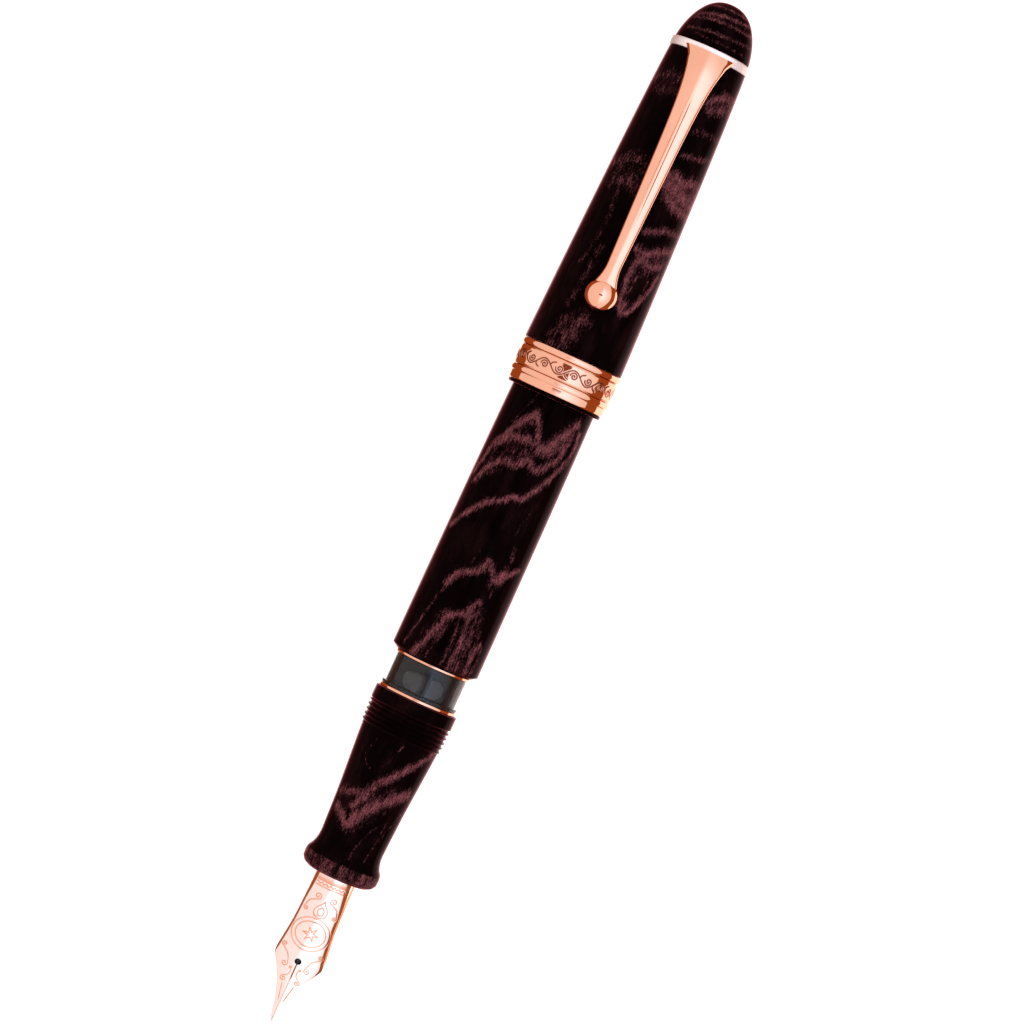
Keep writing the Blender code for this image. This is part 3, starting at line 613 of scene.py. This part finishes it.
def make_clip():
    """Spring arm lofted from crowned sections, and a domed ball."""
    stations = np.concatenate([np.linspace(7.9, 12, 40), np.linspace(12.2, 43.6, 140)])
    sections = [clip_section(s) for s in stations]
    around = len(sections[0])
    verts = [point(s, x, up) for s, section in zip(stations, sections) for x, up in section]
    faces = tube_faces(len(stations), around)
    arm = piece("clip_spring", verts, faces, ROSE_GOLD, None, (), {"groove": np.zeros(len(verts))}, sharp=50.0)

    dome, rings = [(0.0, 7.36), (1.5, 7.37), (2.2, 7.45)], 64
    for k in range(1, 24):
        a = math.pi / 2 * k / 24
        dome.append((2.42 * math.cos(a - 0.02), 7.66 + 2.66 * math.sin(a)))
    dome.append((0.0, 10.32))
    verts, faces = [point(BALL_AT, 0, dome[0][1])], []
    for r, z in dome[1:-1]:
        verts += [point(BALL_AT + r * math.cos(math.tau * k / rings), r * math.sin(math.tau * k / rings), z)
                  for k in range(rings)]
    verts.append(point(BALL_AT, 0, dome[-1][1]))
    last = len(verts) - 1
    for k in range(rings):
        n = (k + 1) % rings
        faces.append((0, 1 + n, 1 + k))
        for i in range(len(dome) - 3):
            a, b = 1 + i * rings, 1 + (i + 1) * rings
            faces.append((a + k, a + n, b + n, b + k))
        faces.append((last, last - rings + k, last - rings + n))
    ball = piece("clip_ball_tool", verts, faces, ROSE_GOLD, None, (), {"groove": np.zeros(len(verts))},
                 sharp=60.0)
    join = arm.modifiers.new("ball", "BOOLEAN")
    join.operation, join.solver, join.object = "UNION", "EXACT", ball
    apply_modifiers(arm)
    bpy.data.objects.remove(ball)
    arm.data.set_sharp_from_angle(angle=math.radians(42))
    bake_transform(arm)
    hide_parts("clip_arm")


def apply_modifiers(obj):
    """Replaces the object's mesh with what its modifiers make of it."""
    evaluated = obj.evaluated_get(bpy.context.evaluated_depsgraph_get())
    made = bpy.data.meshes.new_from_object(evaluated, preserve_all_data_layers=True,
                                           depsgraph=bpy.context.evaluated_depsgraph_get())
    obj.modifiers.clear()
    obj.data = made


# ---- Barrel, window and grip --------------------------------------------------------------------------------

def barrel_radius(s):
    """Outside of the barrel, which tapers to the tail."""
    back = (102.1 - s) / 62.1
    return 6.57 - 0.33 * back - 0.94 * back ** 5


def grip_radius(s):
    """Outside of the grip without its thread."""
    stations = [107.95, 109.9, 110.05, 113.75, 113.85, 115.6, 117.3, 119.0, 120.7, 122.4, 124.0, 125.8, 127.5,
                129.2, 130.0, 130.9, 131.6, 132.2, 132.7, 133.05, 133.5, 134.4, 135.0, 135.35, 135.5]
    radii = [6.18, 6.18, 5.88, 5.84, 5.80, 5.70, 5.57, 5.44, 5.31, 5.18, 5.07, 4.98, 4.90, 4.82,
             4.78, 4.82, 4.97, 5.20, 5.52, 5.66, 5.72, 5.68, 5.30, 4.70, 4.30]
    return float(np.interp(s, stations, radii))


def make_barrel():
    """Barrel, the two thin rings and the ink window between them."""
    outer = [(40.0, 5.2)] + [(s, barrel_radius(s)) for s in np.arange(40.2, 101.5, 0.24)]
    outer += [(101.5, barrel_radius(101.5)), (101.62, 6.5), (102.0, 5.92), (102.1, 5.8)]
    inner = [(102.1, 5.2), (98.0, 5.2), (98.0, 4.5), (60.2, 4.5), (60.2, 4.8), (40.0, 4.8)]
    turned("barrel_shell", outer + inner, RESIN, "pen", ["barrel"], 256,
           field=vein_field(BARREL_VEINS, barrel_radius))

    rear = [(102.14, 5.2), (102.14, 5.52), (102.24, 5.64), (102.5, 5.64), (102.6, 5.52), (102.6, 5.2)]
    turned("window_band_rear", rounded(rear, 0.08), ROSE_GOLD, "pen", ["window_ring_rear"], 160)
    front = [(107.4, 5.2), (107.4, 5.74), (107.5, 5.86), (107.82, 5.86), (107.92, 5.74), (107.92, 5.2)]
    turned("window_band_front", rounded(front, 0.08), ROSE_GOLD, "pen", ["window_ring_front"], 160)
    glass = [(98.5, 4.5), (98.5, 5.15), (102.65, 5.15), (102.65, 5.33), (106.72, 5.33), (106.84, 5.38),
             (106.9, 5.74), (107.0, 5.78), (107.26, 5.78), (107.35, 5.7), (107.35, 5.15), (110.0, 5.15),
             (110.0, 4.5)]
    turned("ink_window_clear", rounded(glass, 0.05), CLEAR, "pen", ["ink_window"], 160)


def make_grip():
    """Grip with the cap's thread, a waist and a flared lip."""
    pitch = 0.73
    veins = vein_field(GRIP_VEINS, grip_radius)

    def shape(s, angle, r):
        phase = ((s - 110.04) / pitch - angle / math.tau) % 1.0
        ridge = np.clip(1 - np.abs(phase - 0.5) / 0.34, 0, 1) ** 0.8
        fade = np.clip((s - 110.0) / 0.25, 0, 1) * np.clip((113.75 - s) / 0.3, 0, 1)
        height = np.interp(s, [110.0, 113.8], [0.36, 0.24])
        return r + np.where(r > 5.5, ridge * fade * height, 0.0)

    def field(s, angle, r):
        lip = np.clip((s - 132.9) / 0.3, 0, 1) * np.clip((135.6 - s) / 0.2, 0, 1)
        streaks = 0.14 * np.sin(angle * 9.0 + 1.7 * np.sin(angle * 3.0)) + 0.10 * np.sin(angle * 23.0)
        return np.maximum(veins(s, angle, r), lip * (0.55 + streaks))

    stations = np.concatenate([np.linspace(108.1, 109.8, 6), np.arange(109.9, 113.9, 0.055),
                               np.arange(113.95, 130.2, 0.24), np.arange(130.3, 135.5, 0.09)])
    outer = [(107.95, 6.0), (107.98, 6.12), (108.05, 6.17)] + [(s, grip_radius(s)) for s in stations]
    inner = [(135.5, 3.62), (113.9, 3.62), (113.9, 4.2), (110.5, 4.2), (110.5, 5.2), (107.95, 5.2)]
    turned("grip_shell", outer + inner, RESIN, "pen", ["grip_section"], 256, shape=shape, field=field)


# ---- Nib unit -----------------------------------------------------------------------------------------------

def nib_top(s):
    """Height of the nib's spine above the axis."""
    return 2.95 - 2.5 * max(0.0, (s - 136.0) / 22.0) ** 1.35


# (station, half-width)
NIB_OUTLINE = [(124.0, 2.94), (136.0, 2.95), (139.3, 3.02), (142.7, 3.16), (144.4, 3.31), (146.1, 3.51),
               (147.4, 3.67), (148.2, 3.70), (148.8, 3.56), (149.5, 3.13), (150.4, 2.61), (151.2, 2.15),
               (152.1, 1.79), (152.9, 1.48), (154.6, 0.92), (155.5, 0.73), (156.4, 0.57), (157.4, 0.38)]
nib_curve = smooth_line(NIB_OUTLINE, 0.1)


def nib_half_width(s):
    """Half the nib's width as seen from above."""
    return float(np.interp(s, nib_curve[:, 0], nib_curve[:, 1]))


def nib_section(s, shares, thickness):
    """(across, up) of the nib's sheet at shares 0 to 1 of its half: its top, or that thickness inside it."""
    edge_tilt = np.interp(s, [136.0, 142.0, 147.4, 149.6, 151.5, 157.4], [88, 90, 76, 40, 28, 40])
    wrap = math.radians(float(edge_tilt))
    # The sheet is round at its root. Further on it has a flat middle and sides that turn down at its edges.
    flat = min(1.0, max(0.0, (s - 135.5) / 4.5))
    t = np.linspace(0, 1, 160)
    tilt = wrap * ((1 - 0.5 * flat) * t + 0.5 * flat * t ** 4)
    x = np.concatenate([[0.0], np.cumsum(np.cos((tilt[1:] + tilt[:-1]) / 2))])
    z = np.concatenate([[0.0], -np.cumsum(np.sin((tilt[1:] + tilt[:-1]) / 2))])
    size = nib_half_width(s) / x[-1]
    x, z = x * size, z * size
    drop = min(1.0, max(0.0, (s - 147.8) / 4.0))
    inside = (thickness > 0) * 0.07 * drop
    across = x - thickness * (1 - drop) * np.sin(tilt) - inside * x
    up = nib_top(s) + z - thickness * ((1 - drop) * np.cos(tilt) + drop)
    return np.interp(shares, t, across), np.interp(shares, t, up)


def scroll(a, b, size_a, size_b, turning):
    """Two spirals, wound opposite ways about a and b, joined by one flowing line."""
    to_b = math.atan2(b[1] - a[1], b[0] - a[0])
    first = spiral(a, size_a, 1.25, to_b - turning * 1.3, -turning, 16)
    second = spiral(b, size_b, 1.25, to_b + math.pi - turning * 1.3, -turning, 16)
    sway = 0.16 * turning
    middle = ((a[0] + b[0]) / 2 - sway * (b[1] - a[1]), (a[1] + b[1]) / 2 + sway * (b[0] - a[0]))
    return smooth_line([tuple(p) for p in first[::-1]] + [middle] + [tuple(p) for p in second], 0.04)


def nib_lines():
    """Engraved ornament on the nib, as (station, arc across) lines: a double medallion, a crest and scrolls."""
    ring = np.linspace(0, math.tau, 160)
    lines = [np.stack([MEDALLION_AT + 1.84 * np.cos(ring), 2.24 * np.sin(ring)], axis=1),
             np.stack([MEDALLION_AT + 2.43 * np.cos(ring), 2.83 * np.sin(ring)], axis=1)]
    star = [(MEDALLION_AT + (1.05 if k % 2 else 0.38) * math.cos(math.pi * k / 6),
             (1.2 if k % 2 else 0.42) * math.sin(math.pi * k / 6)) for k in range(13)]
    lines.append(np.concatenate([np.linspace(np.array(a), np.array(b), 14) for a, b in zip(star, star[1:])]))
    wave = np.linspace(-2.3, 2.3, 120)
    for s, swing in ((136.45, 0.0), (136.85, 0.13), (137.25, 0.0)):
        lines.append(np.stack([s + swing * np.sin(wave * 9.5), wave], axis=1))
    for side in (-1, 1):
        lines.append(scroll((138.7, 1.25 * side), (140.9, 2.15 * side), 0.52, 0.36, side))
        lines.append(smooth_line([(139.1, 0.0), (139.6, 0.3 * side), (140.1, 0.75 * side), (140.7, 1.0 * side),
                                  (141.2, 0.85 * side), (141.5, 0.4 * side), (141.6, 0.0)], 0.04))
        lines.append(smooth_line([(140.0, 0.0), (140.5, 0.45 * side), (141.1, 0.35 * side), (141.2, 0.0)],
                                 0.04))
        lines.append(scroll((146.9, 2.75 * side), (149.4, 1.75 * side), 0.36, 0.48, -side))
        lines.append(scroll((151.5, 1.05 * side), (149.7, 0.75 * side), 0.42, 0.22, side))
        lines.append(smooth_line([(152.2, 0.9 * side), (153.4, 0.66 * side), (154.6, 0.42 * side)], 0.04))
    return lines


def slit_edge(s):
    """Half the gap between the nib's two tines at a station: the breather hole, then the slit."""
    if s <= HOLE_AT - HOLE_RADIUS:
        return 0.0
    slit = float(np.interp(s, [150.8, 151.4], [0.055, 0.014]))
    hole = math.sqrt(max(0.0, HOLE_RADIUS ** 2 - (s - HOLE_AT) ** 2))
    return max(hole, slit if s > HOLE_AT else 0.0)


def make_nib():
    """Two mirrored half sheets that meet behind the breather hole, engraved on top. Patina lies in the
    engraving. Along the slit the same orange-brown is painted shade, and on the turned-down sides it is a painted
    reflection."""
    stations = np.concatenate([np.linspace(124.0, 136.4, 16), np.arange(136.5, 148.0, 0.085),
                               [HOLE_AT - HOLE_RADIUS],
                               HOLE_AT - HOLE_RADIUS * np.cos(np.linspace(0.25, math.pi - 0.2, 16)),
                               np.arange(149.05, 157.45, 0.085)])
    count = 56
    lines = nib_lines()
    top, under = [], []
    for side in (1, -1):
        for s in stations:
            shares = np.linspace(slit_edge(s) / nib_half_width(s), 1, count)
            for sheet, thickness in ((top, 0.0), (under, 0.30 + 0.02 * max(0.0, s - 146.0))):
                across, up = nib_section(s, shares, thickness)
                sheet += [(s, side * x, z) for x, z in zip(across, up)]
    top, under = np.array(top), np.array(under)
    depth = line_depth(top[:, 0], top[:, 1], lines, 0.075)
    top[:, 2] -= 0.035 * depth
    from_slit = np.abs(top[:, 1]) - np.array([slit_edge(s) for s in top[:, 0]])
    # Painted shade: orange-brown laid along the slit past the breather hole.
    painted_slit_shade = np.where(top[:, 0] > HOLE_AT + HOLE_RADIUS, np.clip(1.8 - from_slit / 0.06, 0, 1), 0.0)
    from_edge = np.array([nib_half_width(s) for s in top[:, 0]]) - np.abs(top[:, 1])
    # Painted reflection: orange-brown on the turned-down sides, where the edges reflect the dark brown surround.
    painted_edge_reflection = np.clip((0.34 - from_edge) / 0.16, 0, 1) * np.clip((148.4 - top[:, 0]) / 1.6, 0, 1)
    patina_and_painted_light = np.maximum(np.maximum(depth, painted_slit_shade), painted_edge_reflection)
    world = placed(*np.concatenate([top, under]).T)
    rows, base = len(stations), len(top)
    faces = []
    for half in range(2):
        start = half * rows * count
        for i in range(rows - 1):
            a, b = start + i * count, start + (i + 1) * count
            for k in range(count - 1):
                faces.append((a + k, a + k + 1, b + k + 1, b + k))
                faces.append((base + a + k, base + b + k, base + b + k + 1, base + a + k + 1))
            faces.append((a + count - 1, base + a + count - 1, base + b + count - 1, b + count - 1))
            if slit_edge(stations[i + 1]) > 0:
                faces.append((a, b, base + b, base + a))
        for a in (start, start + (rows - 1) * count):
            for k in range(count - 1):
                faces.append((a + k, base + a + k, base + a + k + 1, a + k + 1))
    groove = np.concatenate([patina_and_painted_light, np.zeros(len(under))])
    piece("nib_engraved", world, faces, NIB_GOLD, "pen", ["nib"], {"groove": groove}, sharp=40.0, weld=True)


def make_tipping():
    """Small ball of hard metal at the nib's point."""
    bm = bmesh.new()
    place = Matrix.Translation(point(LENGTH - 0.36, 0, 0.3)) @ Matrix.Diagonal((1.3, 0.85, 1.0, 1.0))
    bmesh.ops.create_uvsphere(bm, u_segments=32, v_segments=20, radius=0.26 * MM, matrix=place)
    verts = [v.co.copy() for v in bm.verts]
    faces = [[v.index for v in f.verts] for f in bm.faces]
    bm.free()
    piece("nib_point", verts, faces, TIPPING, "pen", ["nib_tipping"])


def make_feed():
    """Tongue with closely cut fins under the nib, on a round stem."""
    around, stem = 40, 2.55
    stations = np.concatenate([np.linspace(116.0, 136.4, 8), np.arange(136.6, 151.7, 0.125)])
    verts = []
    for s in stations:
        share = max(0.0, (s - 136.2) / 15.4)
        top = stem if s <= 136.2 else nib_top(s) - 0.48 - 0.5 * share
        bottom = -stem + 2.6 * share ** 1.6
        half = stem * max(0.0, 1 - share) ** 0.55 + 0.75 * share
        between_fins = 137.0 < s < 148.6 and (s - 137.0) % 0.75 < 0.32
        for k in range(around):
            a = math.tau * (k + 0.5) / around
            c, d = math.cos(a), math.sin(a)
            inset = 0.42 if between_fins and d < 0.25 else 0.0
            up = (top + bottom) / 2 + ((top - bottom) / 2 - inset) * d
            verts.append(point(s, (half - inset * abs(c)) * c, up))
    piece("feed_finned", verts, tube_faces(len(stations), around), BLACK, "pen", ["feed"], sharp=30.0)


def make_housing():
    """Collar that holds nib and feed, and the ink round its inlet. The ink opens in an oval above the collar,
    so that the collar shows through the window. A narrow bar of ink crosses the oval as a painted dark stripe, in
    place of the dark reflection from overhead."""
    outline = [(103.85, 0.7), (103.85, 2.3), (104.0, 2.95), (104.3, 3.3), (104.8, 3.5), (135.05, 3.5),
               (135.2, 3.4), (135.2, 3.02), (115.6, 3.0), (115.6, 2.0), (105.5, 0.7)]
    turned("nib_collar", outline, DOME, "pen", ["nib_housing"], 96)
    stations = [98.6, 102.5, *np.linspace(103.6, 107.8, 64), 109.0, 113.4]
    around = 240
    verts = []
    for s in stations:
        for k in range(around):
            a = math.tau * k / around
            r = 4.53 if s < 107.9 else 4.1
            if math.cos(a) > 0:
                across = r * math.sin(a)
                away = (abs(s - 105.45) / 1.8) ** 2.5 + (abs(across + 0.15) / 3.9) ** 2.5
                # Painted shade: a dark bar of ink left across the oval stands in for the dark stripe reflected
                # from overhead.
                painted_dark_stripe = min(1.0, max(0.0, (0.5 - abs(across - 0.4)) / 0.15))
                r -= 1.4 * (1 - painted_dark_stripe) * min(1.0, max(0.0, (1 - away) / 0.1))
            verts.append(point(s, r * math.sin(a), r * math.cos(a)))
    piece("ink_fill_and_painted_stripe", verts, tube_faces(len(stations), around), INK, "pen")


def make_knob():
    """Filling knob, under the posted cap."""
    def radius(s):
        return float(np.interp(s, [28, 28.35, 29.2, 31, 39.4, 39.9], [3.3, 4.1, 4.75, 5.0, 5.25, 5.05]))

    dome = [(28.0, 0.0), (28.0, 2.9), (28.06, 3.4), (28.3, 3.95), (28.7, 4.42), (29.3, 4.76), (30.2, 4.93)]
    side = [(s, radius(s)) for s in np.arange(31.0, 39.5, 0.24)]
    inner = [(39.8, 5.2), (39.9, 5.05), (39.9, 3.25), (32.9, 3.25), (32.9, 2.6), (30.2, 2.6), (30.2, 0.0)]
    turned("knob_shell", dome + side + inner, RESIN, "knob", ["knob"], 192,
           field=vein_field(KNOB_VEINS, radius))


# ---- Studio -------------------------------------------------------------------------------------------------

def colour_ramp(tree, value, stops):
    """Colours by angle from the zenith: value is that angle over pi, and stops are (degrees, colour)."""
    ramp = node(tree, "ShaderNodeValToRGB", {0: value})
    elements = ramp.color_ramp.elements
    elements.remove(elements[-1])
    for k, (degrees, colour) in enumerate(stops):
        element = elements[0] if k == 0 else elements.new(degrees / 180)
        element.position = degrees / 180
        element.color = (*colour, 1.0)
    return ramp.outputs[0]


def make_world():
    """A studio that reflections see: a tent, brighter on the +Y side and calm on the other, with a brown
    surround under its hem, white paper below, and a small dark hole overhead. The camera sees plain white."""
    surround, lens_hole = (0.17, 0.046, 0.011), (0.13, 0.042, 0.02)
    white_paper, warm_paper = (0.85, 0.85, 0.85), (0.98, 0.76, 0.72)
    world = bpy.data.worlds.new("studio")
    bpy.context.scene.world = world
    world.use_nodes = True
    tree = world.node_tree
    tree.nodes.clear()
    direction = node(tree, "ShaderNodeTexCoord").outputs["Generated"]
    parts = node(tree, "ShaderNodeSeparateXYZ", {0: direction}).outputs
    polar = math_node(tree, "DIVIDE", math_node(tree, "ARCCOSINE", parts[2]), math.pi)
    bright = colour_ramp(tree, polar, [
        (0, (0.78, 0.88, 1.12)), (26, (0.76, 0.84, 1.04)), (46, (0.62, 0.65, 0.76)), (62, (0.55, 0.54, 0.56)),
        (76, (0.50, 0.485, 0.465))])
    calm = colour_ramp(tree, polar, [
        (0, (0.56, 0.50, 0.50)), (45, (0.53, 0.46, 0.45)), (86, (0.50, 0.45, 0.43))])
    tent = mix_colour(tree, map_range(tree, parts[1], -0.15, 0.15), calm, bright)
    # Heights of the tent's hem and of the table's far edge; both rise towards +Y.
    hem = math_node(tree, "MULTIPLY_ADD", map_range(tree, parts[1], 0.2, 0.95), 0.46, -0.23)
    table = math_node(tree, "MULTIPLY_ADD", map_range(tree, parts[1], 0.3, 0.93), 0.505, -0.88)
    over_hem = map_range(tree, math_node(tree, "SUBTRACT", parts[2], hem), -0.015, 0.015)
    on_table = map_range(tree, math_node(tree, "SUBTRACT", table, parts[2]), -0.02, 0.03)
    paper = mix_colour(tree, map_range(tree, parts[1], 0.1, 0.5), white_paper, warm_paper)
    tent = mix_colour(tree, over_hem, surround, tent)
    tent = mix_colour(tree, on_table, tent, paper)
    in_x = map_range(tree, math_node(tree, "ABSOLUTE", parts[0]), 0.05, 0.08, 1.0, 0.0)
    from_middle = math_node(tree, "ABSOLUTE", math_node(tree, "ADD", parts[1], 0.035))
    in_y = map_range(tree, from_middle, 0.155, 0.215, 1.0, 0.0)
    above = math_node(tree, "GREATER_THAN", parts[2], 0.0)
    hole = math_node(tree, "MULTIPLY", math_node(tree, "MULTIPLY", in_x, in_y), above)
    colour = mix_colour(tree, hole, tent, lens_hole)
    studio = node(tree, "ShaderNodeBackground", {"Color": colour, "Strength": 2.0})
    backdrop = node(tree, "ShaderNodeBackground", {"Color": (1.0, 1.0, 1.0, 1.0), "Strength": 1.0})
    seen = node(tree, "ShaderNodeLightPath").outputs["Is Camera Ray"]
    mixed = node(tree, "ShaderNodeMixShader", {0: seen, 1: studio.outputs[0], 2: backdrop.outputs[0]})
    node(tree, "ShaderNodeOutputWorld", {0: mixed.outputs[0]})


def make_floor():
    """White floor just under the cap's band, which reflections and the window don't see."""
    bm = bmesh.new()
    bmesh.ops.create_grid(bm, x_segments=8, y_segments=8, size=3.0)
    mesh = bpy.data.meshes.new("floor")
    bm.to_mesh(mesh)
    bm.free()
    floor = bpy.data.objects.new("floor", mesh)
    bpy.context.scene.collection.objects.link(floor)
    floor.location.z = (AXIS_Z - 7.6) * MM
    made, tree, shader = new_material("pale_floor", Roughness=0.9, Specular_IOR_Level=0.0)
    paper = noise(tree, stretched(tree, 40.0, 40.0), 1.0, 3.0)
    colour = mix_colour(tree, paper, (0.93, 0.91, 0.85), (0.95, 0.93, 0.87))
    tree.links.new(colour, shader.inputs["Base Color"])
    shader.inputs["Emission Color"].default_value = (1.0, 1.0, 1.0, 1.0)
    shader.inputs["Emission Strength"].default_value = 0.6
    mesh.materials.append(made)
    floor.visible_glossy = False
    floor.visible_transmission = False


def make_camera():
    """Long lens straight above the pen, turned so that the pen runs from upper right to lower left."""
    data = bpy.data.cameras.new("camera")
    camera = bpy.data.objects.new("camera", data)
    bpy.context.scene.collection.objects.link(camera)
    data.sensor_width = 36.0
    data.lens = 148.97
    data.clip_start = 0.01
    turn = math.radians(114.45)
    right = Vector((math.cos(turn), math.sin(turn), 0.0))
    over = Vector((-math.sin(turn), math.cos(turn), 0.0))
    place = point(66.0, 0, 600.0)
    target = point(78.65) + right * 0.001373 + over * 0.00003
    forward = (target - place).normalized()
    right = (right - forward * right.dot(forward)).normalized()
    up = right.cross(forward)
    matrix = Matrix((right, up, -forward)).transposed().to_4x4()
    matrix.translation = place
    camera.matrix_world = matrix
    bpy.context.scene.camera = camera


def restyle(material, *names):
    """Gives CAD nodes that stay in the picture's model a finished material."""
    for name in names:
        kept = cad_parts[name]
        kept.data.materials.clear()
        kept.data.materials.append(material)


make_cap()
make_centre_band()
make_clip()
make_barrel()
make_grip()
make_nib()
make_tipping()
make_feed()
make_housing()
make_knob()
restyle(BLACK, "inner_cap", "piston_guide", "piston_rod", "piston_head")
restyle(BRASS, "thrust_washer", "retaining_nut", "drive_sleeve")
restyle(RUBBER, "window_seal_rear", "window_seal_front", "piston_seal_rear", "piston_seal_front")
make_world()
make_floor()
make_camera()
bpy.context.scene.view_settings.view_transform = "Standard"

bpy.context.view_layer.update()
